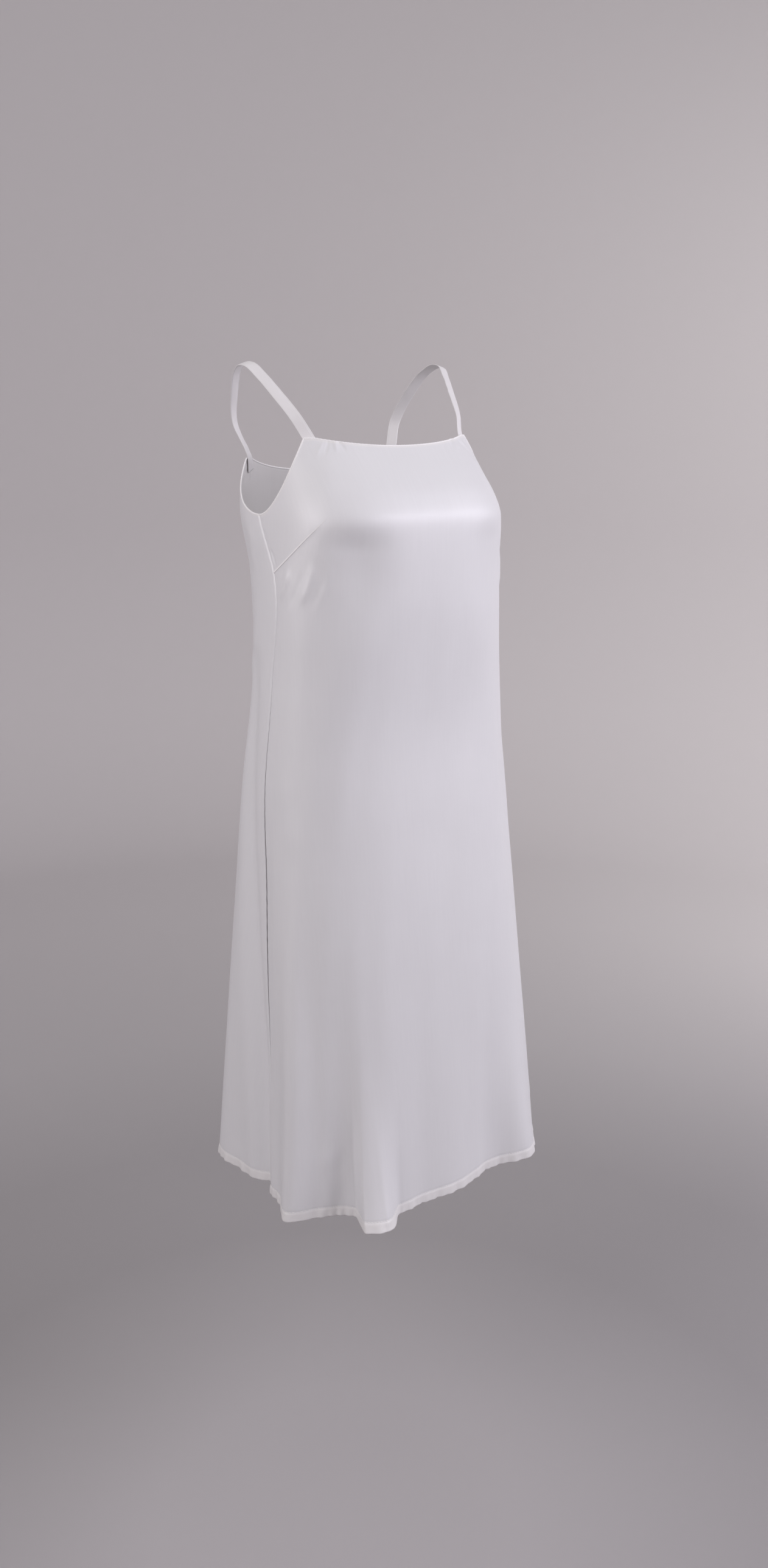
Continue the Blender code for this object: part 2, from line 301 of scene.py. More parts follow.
# %% [markdown]
# ## Small creases
# Thin satin shows every pull.  Short drag folds fan out below the side end of the dart, the cloth
# is pinched where the dart meets the seam, it gathers a little at each strap, and a deep valley
# runs down each side seam of the skirt.  All of them are bells laid along a line from one point
# of the cloth to another, in metres from the side seam and in level, so one function makes them.
# The wearer's left side is the mirror of the right.

# %% Short folds
def short_fold(run, level, start, end, width, height):
    """Bell across the line from start to end, faded smoothly over its two ends."""
    ax, ay, bx, by = *start, *end
    long = np.hypot(bx - ax, by - ay)
    ux, uy = (bx - ax) / long, (by - ay) / long
    along = (run - ax) * ux + (level - ay) * uy
    aside = (level - ay) * ux - (run - ax) * uy
    fade = np.exp(-np.clip(np.abs(along / long - 0.5) - 0.2, 0, None) ** 2 / 0.045)
    return height * bell(aside, 0, width) * fade


# Start and end in metres from the side seam and level, half width, height.
FRONT_CREASES = (
    ((0.008, -0.240), (0.030, -0.206), 0.0036, 0.0018),      # drag folds below the dart
    ((0.036, -0.244), (0.062, -0.200), 0.0042, 0.0015),
    ((0.056, -0.240), (0.082, -0.198), 0.0044, 0.0006),
    ((0.022, -0.248), (0.046, -0.208), 0.0034, -0.0010),
    ((0.048, -0.246), (0.070, -0.212), 0.0032, -0.0006),
    ((0.007, -0.188), (0.0075, -0.207), 0.0018, -0.0012),    # pinch where the dart meets the seam
    ((0.088, -0.078), (0.083, -0.094), 0.0020, 0.0010),      # gathers under the strap
    ((0.094, -0.078), (0.092, -0.092), 0.0018, -0.0010),
    ((0.099, -0.076), (0.105, -0.090), 0.0020, 0.0012),
    ((0.103, -0.077), (0.115, -0.089), 0.0020, -0.0013),
    ((0.096, -0.084), (0.104, -0.150), 0.0110, 0.0010),      # soft pull from strap to bust
    ((0.030, -0.420), (0.052, -0.520), 0.0140, 0.0010),      # long soft pulls over the hip
    ((0.075, -0.360), (0.092, -0.560), 0.0150, -0.0010),
    ((0.000, -0.440), (0.002, -0.870), 0.0150, -0.0060),     # deep valley along the seam
    ((0.100, -0.876), (0.112, -0.856), 0.0060, -0.0008),     # small dents above the hem
    ((0.085, -0.868), (0.098, -0.846), 0.0070, 0.0009),
)
BACK_CREASES = (
    ((0.000, -0.440), (0.002, -0.870), 0.0150, -0.0060),
    ((0.060, -0.9035), (0.082, -0.9055), 0.0018, 0.0007),
    ((0.088, -0.110), (0.084, -0.128), 0.0024, 0.0006),
    ((0.096, -0.108), (0.100, -0.124), 0.0020, -0.0007),
    ((0.020, -0.165), (0.052, -0.215), 0.0090, 0.0012),
    ((0.045, -0.160), (0.082, -0.230), 0.0110, -0.0010),
    ((0.060, -0.330), (0.120, -0.300), 0.0130, 0.0012),
    ((0.080, -0.352), (0.160, -0.335), 0.0120, -0.0010),
)


def creases(side, place, length, level):
    """Sum of the panel's short folds, on the right side and mirrored on the left."""
    shapes = FRONT_CREASES if side == "front" else BACK_CREASES
    return sum(short_fold(run, level, *shape)
               for run in (place * length, (1 - place) * length) for shape in shapes)


print("creases on each half:", len(FRONT_CREASES), "in front and", len(BACK_CREASES), "behind")

# %% [markdown]
# The dart is a tuck sewn from the side seam to the bust and pressed down.  Its sewn line rises in
# a shallow curve.  On the outside it is a small step, because cloth above the line stands a hair
# proud.  From the bust the cloth hangs nearly straight, and to each side of the middle a wide
# soft hollow lies under the bust, deeper on the wearer's right.

# %% Bust dart
DART_TIP = 0.226
BUST_LEVEL, BUST_DEPTH, BUST_ROUNDING = -0.1535, 0.1619, 0.0026
SLOPE_ABOVE, SLOPE_BELOW = 0.64, 0.030       # metres inwards for each metre up or down
DART_STEP, DART_HOLLOW = 0.0003, 0.0001
UNDER_BUST_RIGHT, UNDER_BUST_LEFT = 0.0056, 0.0026


def dart_line(place):
    """Level of the dart's sewn line: a parabola that rises from the side seam."""
    return -0.2135 + 0.18 * place + 0.36 * place ** 2


def bust_line(place, level):
    """How far the middle of the front stands off the smooth curve through the sections.

    Cloth slopes out to the bust, turns in a short bend, and then hangs nearly straight: two
    straight lines whose corner is rounded as mean - sqrt(half difference^2 + rounding^2)."""
    _, seam, depth, _ = section_sizes("front", level)
    down = BUST_LEVEL - level
    slope_out, slope_in = BUST_DEPTH + SLOPE_ABOVE * down, BUST_DEPTH - SLOPE_BELOW * down
    corner = np.hypot((slope_out - slope_in) / 2, BUST_ROUNDING)
    hung = (slope_out + slope_in) / 2 - corner
    share = ramp(down, -0.040, -0.012) * (1 - ramp(down, 0.090, 0.330))
    return share * (hung + seam + depth) * ramp(np.minimum(place, 1 - place), 0.12, 0.34)


def bust_dart(place, level):
    """A step on the sewn line, a faint hollow below it, and a wide soft one under the bust."""
    out = 0
    under = ramp(-level, 0.158, 0.188) * (1 - ramp(-level, 0.186, 0.300))
    for from_side, depth in ((place, UNDER_BUST_RIGHT), (1 - place, UNDER_BUST_LEFT)):
        above = level - dart_line(np.minimum(from_side, DART_TIP))
        sewn = 1 - ramp(from_side, DART_TIP - 0.05, DART_TIP + 0.004)
        out = out + sewn * (DART_STEP * ramp(above, -0.0020, 0.0004) * bell(above, 0, 0.012)
                            - DART_HOLLOW * bell(above, -0.0060, 0.0050))
        out = out - depth * bell(from_side, 0.280, 0.072) * under
    return out


print("a dart rises", round(dart_line(DART_TIP) - dart_line(0), 4), "m from the seam to its point")

# %% [markdown]
# The skirt also carries faint upright ripples, left by hanging, and the seams and the hem pull
# the cloth in a little.  Ripples are sums of slow waves that never line up; puckers are short
# waves that fade within a few millimetres of the stitching.

# %% Ripples, seams and hem
def ripples(run, level, phase):
    """Three slow waves across the cloth that drift with level and grow below the bust."""
    wave = (0.5 * np.cos(run / 0.0053 + 2.1 * np.sin(level * 7 + phase) + phase)
            + np.cos(run / 0.0094 - 1.7 * np.sin(level * 5 + 2 * phase) + 1.3)
            + 1.6 * np.cos(run / 0.0163 + 1.1 * np.sin(level * 9 + 1) + 2.9 * phase))
    return 0.00026 * wave * ramp(-level, 0.19, 0.34)


def seam_pull(from_seam, level):
    """A narrow valley at the side seam, with a pucker about every 13 mm."""
    pucker = 1 + 0.30 * np.sin(level / 0.0021 + 3 * np.sin(level / 0.031))
    return -0.0013 * bell(from_seam, 0, 0.0012) - 0.0005 * pucker * bell(from_seam, 0, 0.0055)


def hem_pull(run, level):
    """The turned band stands proud of the cloth, is held in by its stitching, and ripples."""
    up = level - HEM_LEVEL
    band = 1 - ramp(up, HEM_TURN - 0.0014, HEM_TURN + 0.0008)
    pucker = np.sin(run / 0.0021 + 2.2 * np.sin(run / 0.017)) + np.sin(run / 0.0043 + 1)
    return (0.0004 * band - 0.0004 * bell(up, HEM_TURN, 0.0014)
            + 0.0007 * pucker * bell(up, 0.0, 0.009))


def cloth_point(side, place, level):
    """Outer face of a panel: the outline, moved outwards by all the folds and creases."""
    place, level = np.broadcast_arrays(np.asarray(place, float), np.asarray(level, float))
    x, y, out_x, out_y, length = read_outline(side, place, level)
    run = place * length
    push = large_folds(side, place, length, level) + creases(side, place, length, level)
    push = push + ripples(run, level, 0.4 if side == "front" else 2.0) + hem_pull(run, level)
    push = push + seam_pull(run, level) + seam_pull(length - run, level)
    if side == "front":
        push = push + bust_line(place, level) + bust_dart(place, level)
    return np.stack([x + out_x * push, y + out_y * push, level], axis=-1)


def inner_point(side, place, level, inward):
    """Outer face moved inwards, square to the cloth, from differences over 2 mm."""
    nudge = 0.002
    sideways = cloth_point(side, place + nudge, level) - cloth_point(side, place - nudge, level)
    upwards = cloth_point(side, place, level + nudge) - cloth_point(side, place, level - nudge)
    outward = np.cross(sideways, upwards) * (1.0 if side == "front" else -1.0)
    outward /= np.linalg.norm(outward, axis=-1, keepdims=True)
    return cloth_point(side, place, level) - outward * np.asarray(inward)[..., None]


middle = cloth_point("front", 0.5, -0.15)
print("fullest point of the bust", [round(float(v), 4) for v in middle])

# %% [markdown]
# ## From points to meshes
# Every piece is a grid of points worked out as one array, so its faces can be listed by one
# function, and the same slices give each face corner its place on the cloth in metres.  That UV
# map is what the weave follows, so threads keep their real size and bend with the cloth.

# %% Grids and meshes
garment = bpy.data.collections.new("satin_slip_dress_fine")
bpy.context.scene.collection.children.link(garment)


def corners(grid):
    """The values at the four corners of every cell of a grid, anticlockwise."""
    return np.stack([grid[:-1, :-1], grid[:-1, 1:], grid[1:, 1:], grid[1:, :-1]], axis=2)


def grid_faces(rows, columns, around=False):
    """Vertex numbers of every face of a grid; around joins the last column to the first."""
    index = np.arange(rows * columns).reshape(rows, columns)
    if around:
        index = np.concatenate([index, index[:, :1]], axis=1)
    return corners(index).reshape(-1, 4)


def make_piece(name, points, faces, uv, materials, caps=(), layers=None):
    """A smooth mesh object at the origin, with a UV map in metres and its materials.

    uv holds one pair for each corner of the faces; caps are whole faces that close an end."""
    mesh = bpy.data.meshes.new(name)
    mesh.from_pydata(points.reshape(-1, 3).tolist(), [], faces.tolist() + [list(c) for c in caps])
    flat = np.zeros((len(mesh.loops), 2), np.float32)
    flat[:uv.size // 2] = uv.reshape(-1, 2)
    mesh.uv_layers.new(name="cloth").data.foreach_set("uv", flat.ravel())
    if layers is not None:
        mesh.attributes.new("layers", "FLOAT", "POINT").data.foreach_set("value", layers.ravel())
    for material in materials:
        mesh.materials.append(material)
    mesh.shade_smooth()
    piece = bpy.data.objects.new(name, mesh)
    garment.objects.link(piece)
    return piece


def cloth_sheet(name, points, uv, double, materials, thickness, turned=False):
    """A grid with a wall added inwards, so that its edges have a thickness that catches light.

    turned lists the columns the other way round, so that the faces of the back point outwards."""
    if turned:
        points, uv, double = points[:, ::-1], uv[:, ::-1], double[:, ::-1]
    piece = make_piece(name, points, grid_faces(*double.shape), corners(uv), materials,
                       layers=double)
    solid = piece.modifiers.new("wall", "SOLIDIFY")
    solid.thickness = thickness
    solid.offset = -1.0
    solid.material_offset = len(materials) - 1
    return piece


def other_side(points):
    """Points mirrored left to right, listed the other way round so that faces still look out."""
    return (points * (-1, 1, 1))[..., ::-1, :]


def settle(piece, node=None):
    """Put a piece on the dress's one body, hide the node it replaces, and print its number of
    faces.
    """
    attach(piece, "root")
    if node:
        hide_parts(node)
    print(piece.name, "has", len(piece.data.polygons), "faces before any wall")


print("pieces go in", garment.name)

# %% [markdown]
# ## Satin
# Satin is woven so that each thread floats over many others: the face is smooth along the floats
# and gives a soft, wide highlight, and the reverse is dull.  Both are the same silk, so one node
# group makes the threads, and each material sets its own colours, roughness and sheen.
# The floats are long thin bricks laid side by side; slow noise stretched along them makes the
# uneven thread that shows in raking light.

# %% Node helpers
def new_group(name, inputs, outputs):
    """A shader node group with named sockets: inputs and outputs are (name, kind, default)."""
    group = bpy.data.node_groups.new(name, "ShaderNodeTree")
    for socket_name, kind, default in inputs:
        socket = group.interface.new_socket(socket_name, in_out="INPUT", socket_type=kind)
        if default is not None:
            socket.default_value = default
    for socket_name, kind in outputs:
        group.interface.new_socket(socket_name, in_out="OUTPUT", socket_type=kind)
    return group, group.nodes.new("NodeGroupInput"), group.nodes.new("NodeGroupOutput")


def feed(tree, node, inputs):
    """Give each input of a node its value, or link it to the socket that makes one."""
    for name, value in inputs.items():
        if isinstance(value, bpy.types.NodeSocket):
            tree.links.new(value, node.inputs[name])
        else:
            node.inputs[name].default_value = value


def add_node(tree, kind, inputs, **settings):
    """A new shader node; its settings come first, because they decide which inputs it has."""
    node = tree.nodes.new("ShaderNode" + kind)
    for name, value in settings.items():
        setattr(node, name, value)
    feed(tree, node, inputs)
    return node


def math_node(tree, operation, a, b):
    """The result of a Math node whose two inputs are sockets or numbers."""
    return add_node(tree, "Math", {0: a, 1: b}, operation=operation).outputs[0]


def mix_colours(tree, share, a, b):
    """The result of a colour mix; share, a and b are sockets or values."""
    return add_node(tree, "Mix", {0: share, 6: a, 7: b}, data_type="RGBA").outputs[2]


def new_material(name):
    """A material with nodes: itself, its tree and its Principled shader."""
    material = bpy.data.materials.new(name)
    material.use_nodes = True
    return material, material.node_tree, material.node_tree.nodes["Principled BSDF"]


def cloth_place(tree):
    """The piece's own UV map, which is in metres along the cloth."""
    return add_node(tree, "UVMap", {}, uv_map="cloth").outputs[0]


def add_relief(tree, shader, height, distance, strength=1.0):
    """A Bump node between a height, of which 1 is a distance in metres, and the normal."""
    relief = add_node(tree, "Bump", {"Height": height, "Distance": distance,
                                     "Strength": strength})
    feed(tree, shader, {"Normal": relief.outputs[0]})


# %% Group: satin threads
THREAD = 0.00024             # width of one float
FLOAT_LENGTH = 0.0016


def satin_threads():
    """Height of the floats, and a slow unevenness from 0 to 1 that is stretched along them."""
    group, given, out = new_group(
        "satin threads",
        [("Vector", "NodeSocketVector", None), ("Unevenness", "NodeSocketFloat", 0.5)],
        [("Height", "NodeSocketFloat"), ("Uneven", "NodeSocketFloat")])
    turned = add_node(group, "Mapping", {"Vector": given.outputs["Vector"],
                                         "Rotation": (0, 0, radians(90))})
    floats = add_node(group, "TexBrick", {
        "Vector": turned.outputs[0], "Color1": (1, 1, 1, 1), "Color2": (0.8, 0.8, 0.8, 1),
        "Mortar": (0, 0, 0, 1), "Scale": 1.0, "Mortar Size": THREAD * 0.15, "Mortar Smooth": 1.0,
        "Brick Width": FLOAT_LENGTH, "Row Height": THREAD}, offset=0.4)
    stretched = add_node(group, "Mapping", {"Vector": given.outputs["Vector"],
                                            "Scale": (420.0, 22.0, 1.0)})
    noise = add_node(group, "TexNoise", {"Vector": stretched.outputs[0], "Scale": 1.0,
                                         "Detail": 3.0})
    slow = math_node(group, "MULTIPLY", noise.outputs["Fac"], given.outputs["Unevenness"])
    bricks = add_node(group, "RGBToBW", {0: floats.outputs["Color"]})
    feed(group, out, {"Height": math_node(group, "ADD", bricks.outputs[0], slow),
                      "Uneven": noise.outputs["Fac"]})
    return group


SATIN_THREADS = satin_threads()
print("group", SATIN_THREADS.name, "with floats", FLOAT_LENGTH * 1000, "mm long")

# %% [markdown]
# Silk also isn't one flat white.  It is warmer and more opaque where it lies double, at the hem
# band and at turned edges, because less of what is behind shows through.  A second group mixes
# those tones, from the `layers` attribute that each panel carries and a slow cloudy noise.

# %% Group: silk tone
def silk_tone():
    """Single or double cloth colour by the layers attribute, clouded by a slow noise."""
    group, given, out = new_group(
        "silk tone",
        [("Vector", "NodeSocketVector", None), ("Single", "NodeSocketColor", (1, 1, 1, 1)),
         ("Double", "NodeSocketColor", (1, 1, 1, 1)), ("Clouding", "NodeSocketFloat", 0.04),
         ("Uneven", "NodeSocketFloat", 0.5)],
        [("Color", "NodeSocketColor")])
    layers = add_node(group, "Attribute", {}, attribute_name="layers")
    colour = mix_colours(group, layers.outputs["Fac"], given.outputs["Single"],
                         given.outputs["Double"])
    clouds = add_node(group, "TexNoise", {"Vector": given.outputs["Vector"], "Scale": 14.0,
                                          "Detail": 2.0})
    both = math_node(group, "ADD", clouds.outputs["Fac"], given.outputs["Uneven"])
    shade = math_node(group, "MULTIPLY", math_node(group, "SUBTRACT", 1.0, both),
                      given.outputs["Clouding"])
    darker = add_node(group, "HueSaturation", {
        "Color": colour, "Value": math_node(group, "ADD", shade, 1.0)})
    feed(group, out, {"Color": darker.outputs[0]})
    return group


SILK_TONE = silk_tone()
print("group", SILK_TONE.name)


# %% Satin material
SATIN_RELIEF = 0.35
THREAD_ROUGHNESS = 0.10      # how far the uneven threads vary the roughness


def satin(name, single, double, roughness, sheen, gloss):
    """Silk on a Principled shader: threads drive the bump and a little of the roughness."""
    material, tree, shader = new_material(name)
    place = cloth_place(tree)
    threads = add_node(tree, "Group", {"Vector": place}, node_tree=SATIN_THREADS)
    tone = add_node(tree, "Group", {"Vector": place, "Single": single, "Double": double,
                                    "Uneven": threads.outputs["Uneven"]}, node_tree=SILK_TONE)
    uneven = math_node(tree, "MULTIPLY", threads.outputs["Uneven"], THREAD_ROUGHNESS)
    feed(tree, shader, {
        "Base Color": tone.outputs["Color"],
        "Roughness": math_node(tree, "ADD", uneven, roughness - THREAD_ROUGHNESS / 2),
        "Metallic": gloss, "Sheen Weight": sheen, "Sheen Roughness": 0.45})
    add_relief(tree, shader, threads.outputs["Height"], 0.00004, SATIN_RELIEF)
    return material


SINGLE_SILK = (0.790, 0.790, 0.805, 1)
DOUBLE_SILK = (0.845, 0.835, 0.830, 1)
FACE_SATIN = satin("satin_face", SINGLE_SILK, DOUBLE_SILK, 0.43, 0.05, 0.077)
REVERSE_SATIN = satin("satin_reverse", (0.78, 0.765, 0.76, 1), DOUBLE_SILK, 0.70, 0.20, 0.0)
TURNED_SATIN = satin("satin_turned", (0.86, 0.84, 0.825, 1), DOUBLE_SILK, 0.55, 0.12, 0.0)
STRAP_SATIN = satin("satin_strap", (0.81, 0.795, 0.80, 1), DOUBLE_SILK, 0.45, 0.10, 0.08)
# The edge satin is lighter than double silk: partly the tone of doubled cloth, partly a painted
# highlight along rolled edges and dart ridges.
EDGE_SATIN_PAINTED_HIGHLIGHT = satin("satin_edge_painted_highlight", (0.94, 0.93, 0.93, 1), DOUBLE_SILK, 0.50, 0.15, 0.0)
print("satins:", ", ".join(m.name for m in bpy.data.materials))

# %% [markdown]
# Sewing thread is a hard, slightly shiny twist.  Its plies show as slanted bands along each
# stitch, which a wave texture on the stitch's own UV map gives.

# %% Thread material
def sewing_thread():
    """Off-white thread with slanted plies from a wave along and across the stitch."""
    material, tree, shader = new_material("sewing_thread")
    plies = add_node(tree, "TexWave", {"Vector": cloth_place(tree), "Scale": 900.0},
                     bands_direction="DIAGONAL")
    colour = mix_colours(tree, plies.outputs["Fac"], (0.80, 0.78, 0.76, 1), (0.92, 0.90, 0.88, 1))
    feed(tree, shader, {"Base Color": colour, "Roughness": 0.45})
    add_relief(tree, shader, plies.outputs["Fac"], 0.00005)
    return material


THREAD_SILK = sewing_thread()
print("thread:", THREAD_SILK.name)

# %% [markdown]
# ## The two panels
# Rows and columns are crowded where the cloth is busy.  On the front the rows bend to follow the
# dart line, so the sharp little step falls on a row and not between two.  The lowest rows curl
# inwards, as the fold of a turned-up hem does.

# %% Rows and columns of a panel
ABOVE_ROWS, BELOW_ROWS, HEM_ROWS = 52, 126, 13
BACK_GUIDE = -0.190          # the back has no dart, so its rows follow one level
HEM_ZONE = 0.0145
SILK = 0.0006                # the fine wall; the plain one is thicker
CURL = ((0.0004, 0.0011), (0.0001, 0.0005), (0.0, 0.0001))    # height and how far inwards


def panel_columns(side):
    """Places of the columns, closer at the seams, the straps and the pointed fold."""
    outer, inner = strap_edges(side)
    edge = POINTED_FOLD[0]
    stops = (0, 0.010, outer, inner, edge - 0.010, edge + 0.010, 0.36, 0.66, 1 - inner,
             1 - outer, 0.990, 1)
    counts = (7, 50, 15, 9, 14, 36, 36, 24, 14, 44, 7)
    runs = [np.linspace(a, b, n, endpoint=False) for a, b, n in zip(stops, stops[1:], counts)]
    return np.concatenate(runs + [[1.0]])[None, :]


def panel_levels(side, place):
    """Levels of the rows, bottom to top: hem zone, then up to the guide line, then to the edge."""
    tip = np.minimum(np.minimum(place, 1 - place), DART_TIP)
    guide = dart_line(tip) if side == "front" else np.full_like(place, BACK_GUIDE)
    up = np.linspace(0, 1, ABOVE_ROWS)[1:, None]
    down = (np.linspace(1, 0, BELOW_ROWS) ** 1.3)[1:, None]
    start = HEM_LEVEL + HEM_ZONE
    hem_rows = np.linspace(HEM_LEVEL + 0.0010, start, HEM_ROWS)[:, None] + 0 * place
    return np.concatenate([hem_rows, guide - (guide - start) * down,
                           guide + (top_edge(side, place) - guide) * up])


def panel_uv(side, place, level):
    """Metres across the cloth from the middle of the panel, and metres up from the hem."""
    length = read_outline(side, place, level)[-1]
    return np.stack([(place - 0.5) * length, level - HEM_LEVEL], axis=-1)


print("rows and columns of the front:", panel_levels("front", panel_columns("front")).shape)

# %% Panels
HEM_FADE, EDGE_FADE = (0.0098, 0.0118), (0.0010, 0.0030)      # where double cloth turns single


def panel(side):
    """A wall of silk: a curled hem edge below, then the rows of the panel."""
    place = panel_columns(side)
    level = panel_levels(side, place)
    curl_up, curl_in = np.array(CURL).T[:, :, None] + 0 * place
    points = np.concatenate([inner_point(side, place, HEM_LEVEL + curl_up, curl_in),
                             cloth_point(side, place, level)])
    level = np.concatenate([HEM_LEVEL + curl_up, level])
    double = np.maximum(1 - ramp(level - HEM_LEVEL, *HEM_FADE),
                        1 - ramp(top_edge(side, place) - level, *EDGE_FADE))
    return cloth_sheet("satin_" + side, points, panel_uv(side, place + 0 * level, level), double,
                       [FACE_SATIN, REVERSE_SATIN], SILK, turned=side == "back")


PANELS = {side: panel(side) for side in SIDES}
for side in SIDES:
    settle(PANELS[side], side + "_panel")

# %% [markdown]
# ## Turned-up hem
# The hem is the panel's own lowest centimetre folded up inside.  It is made from the panel's
# points moved inwards square to the cloth, so it follows every fold, and it swells slightly
# between the folded edge and the line of stitching, as a pressed but not flattened fold does.

# %% Hem bands
HEM_BAND_ROWS, HEM_BAND_WALL = 9, 0.0005
HEM_BAND_BEHIND, HEM_BAND_BULGE = 0.0011, 0.0006


def hem_band(side):
    """Panel points from the hem edge up to the stitching, moved in by the wall and a bulge."""
    place = panel_columns(side)[:, 2:-2]
    share = np.linspace(0, 1, HEM_BAND_ROWS)[:, None]
    level = HEM_LEVEL + 0.0004 + (HEM_TURN - 0.0002) * share + 0 * place
    inward = HEM_BAND_BEHIND + HEM_BAND_BULGE * np.sin(np.pi * share ** 0.7) + 0 * place
    place = place + 0 * level
    return cloth_sheet("hem_band_" + side, inner_point(side, place, level, inward),
                       panel_uv(side, place, level), np.ones_like(level), [TURNED_SATIN],
                       HEM_BAND_WALL, turned=side == "back")


HEMS = {side: hem_band(side) for side in SIDES}
for side in SIDES:
    settle(HEMS[side], "hem_" + side)

# %% [markdown]
# ## Tubes along a path
# Rolled edges, straps and stitches are all a closed profile carried along a path.  One function
# does it: the tangent comes from differences along the path, and the profile stands on the
# outward direction that the cloth gives at each point.

# %% Profile carried along paths
def swept(path, outward, across, out):
    """Points path + sideways * across + outward * out.

    path and outward are (paths, steps, 3); across and out are (paths or 1, steps or 1, sides)."""
    ahead = np.gradient(path, axis=1)
    ahead /= np.linalg.norm(ahead, axis=2, keepdims=True)
    outward = outward - (outward * ahead).sum(axis=2, keepdims=True) * ahead
    outward = outward / np.linalg.norm(outward, axis=2, keepdims=True)
    sideways = np.cross(ahead, outward)
    return (path[:, :, None] + sideways[:, :, None] * across[..., None]
            + outward[:, :, None] * out[..., None])


def full_turn(count):
    """Angles of the points of a closed profile: count of them, evenly, once round."""
    return np.linspace(0, 2 * np.pi, count, endpoint=False)


def swept_piece(name, points, around, material):
    """A mesh of closed tubes, with both ends of every tube closed by one face.

    around is the length of the profile, so that the UV map stays in metres."""
    tubes, steps, sides = points.shape[:3]
    one = grid_faces(steps, sides, around=True)[:, ::-1]
    faces = (one[None] + (np.arange(tubes) * steps * sides)[:, None, None]).reshape(-1, 4)
    run = np.linalg.norm(np.diff(points[0, :, 0], axis=0), axis=1)
    along = np.concatenate([[0], np.cumsum(run)])
    u, v = np.meshgrid(np.linspace(0, around, sides + 1), along)
    uv = np.tile(corners(np.stack([u, v], axis=-1)).reshape(-1, 4, 2)[:, ::-1], (tubes, 1, 1))
    ring = np.arange(sides)
    starts = np.arange(tubes) * steps * sides
    caps = [ring + s for s in starts] + [ring[::-1] + s + (steps - 1) * sides for s in starts]
    return make_piece(name, points, faces, uv, [material], [c.tolist() for c in caps])


def outward_at(side, place, level):
    """Unit direction out of the cloth, from a point a little inside to the one on its face."""
    inside = 0.001
    return (cloth_point(side, place, level) - inner_point(side, place, level, inside)) / inside


# %% [markdown]
# ## Rolled edges
# The neckline and the armholes are finished with a narrow rolled edge, about as thick as a
# knitting needle's tip: it shows as a thin lighter line that holds the edge smooth.  Its satin is
# doubled and also painted lighter, as a painted highlight.

# %% Rolled edges
ROLL = 0.00085


def rolled_edge(side):
    """One tube per panel along its whole upper edge, from seam to seam."""
    place = panel_columns(side)[0]
    fine = np.interp(np.linspace(0, len(place) - 1, 620), np.arange(len(place)), place)
    fine = 0.0015 + 0.997 * fine[None, :]
    level = top_edge(side, fine) - 0.0002
    out = outward_at(side, fine, level)
    path = cloth_point(side, fine, level) - out * 0.0004
    turn = full_turn(12)
    length = np.cumsum(np.linalg.norm(np.gradient(path[0], axis=0), axis=1))[None, :, None]
    swell = 1 + 0.10 * np.sin(length / 0.0006 + 2 * np.sin(length / 0.006))
    points = swept(path, out, ROLL * 1.1 * np.cos(turn) * swell, ROLL * np.sin(turn) * swell)
    return swept_piece("rolled_edge_" + side, points, 2 * np.pi * ROLL, EDGE_SATIN_PAINTED_HIGHLIGHT)


for side in SIDES:
    settle(rolled_edge(side))

# %% [markdown]
# The fold of each dart shows outside as a fine bright ridge along the sewn line.  It is thinner
# than a grain of rice, flattened by the iron, and fades to nothing at the bust point, so it is a
# tapering tube too.  Its brightness is a painted highlight: the tube has the lighter edge satin.

# %% Dart ridges
def dart_ridge(hand):
    """A tube that lies on the sewn line from the side seam and tapers to the bust point."""
    share = np.linspace(0, 1, 160)[None, :]
    place = 0.004 + (DART_TIP - 0.002) * share
    level = dart_line(place) + 0.0003
    out = outward_at("front", place, level)
    path = cloth_point("front", place, level) + out * 0.0001
    size = (0.0010 * (1 - 0.75 * share ** 2) * np.sqrt(1.0001 - share ** 8))[..., None]
    turn = full_turn(10)
    points = swept(path, out, size * np.cos(turn), 0.5 * size * np.sin(turn))
    if hand == "left":
        points = other_side(points)
    return swept_piece("dart_ridge_" + hand, points, 0.004, EDGE_SATIN_PAINTED_HIGHLIGHT)


for hand in HANDS:
    settle(dart_ridge(hand))

# %% [markdown]
# ## Hem stitching
# The hem is held by one line of straight machine stitches, a little over 2 mm long.  Hundreds of
# them are one joined mesh: five rings of six points each, thinner at the ends where the thread
# dives into the cloth.

# %% Stitches
STITCH, STITCH_STEP, THREAD_RADIUS = 0.0021, 0.0028, 0.00024


def stitches(side):
    """One short tube for each step along the hem, on the cloth's outer face.

    Height and thickness follow an arch, the root of 1 - 0.92 * share^2 from end to end."""
    girth = float(read_outline(side, np.array(0.5), np.array(HEM_LEVEL + HEM_TURN))[-1])
    count = int((girth - 0.008) / STITCH_STEP)
    middle = np.linspace(0.004 / girth, 1 - 0.004 / girth, count)[:, None]
    share = np.linspace(-1, 1, 5)[None, :]
    place = middle + share * STITCH / 2 / girth
    if side == "back":
        place = place[:, ::-1]
    level = HEM_LEVEL + HEM_TURN + 0 * place
    arch = np.sqrt(1 - 0.92 * share ** 2)
    out = outward_at(side, place, level)
    path = cloth_point(side, place, level) + out * (0.00028 * arch - 0.0001)[..., None]
    turn = full_turn(6)
    radius = (THREAD_RADIUS * arch)[..., None]
    points = swept(path, out, radius * np.cos(turn), radius * np.sin(turn))
    return swept_piece("hem_stitches_" + side, points, 2 * np.pi * THREAD_RADIUS, THREAD_SILK)


for side in SIDES:
    settle(stitches(side))

# %% [markdown]
# ## The cloth inside the darts
# Inside the dress the tuck of each dart lies pressed downwards as a long thin triangle of cloth.
# It shows when someone looks in at the armhole, so it is a sheet of its own, widest at the side
# seam, that follows the inside of the panel.

# %% Darts
DART_DEPTH, DART_END_DEPTH = 0.014, 0.0015
DART_START, DART_END = 0.020, 0.215          # as shares of the front's width
DART_GIRTH = 0.43                            # width of the front at the level of the darts
DART_WALL, DART_BEHIND, DART_BULGE = 0.0008, 0.0014, 0.0005


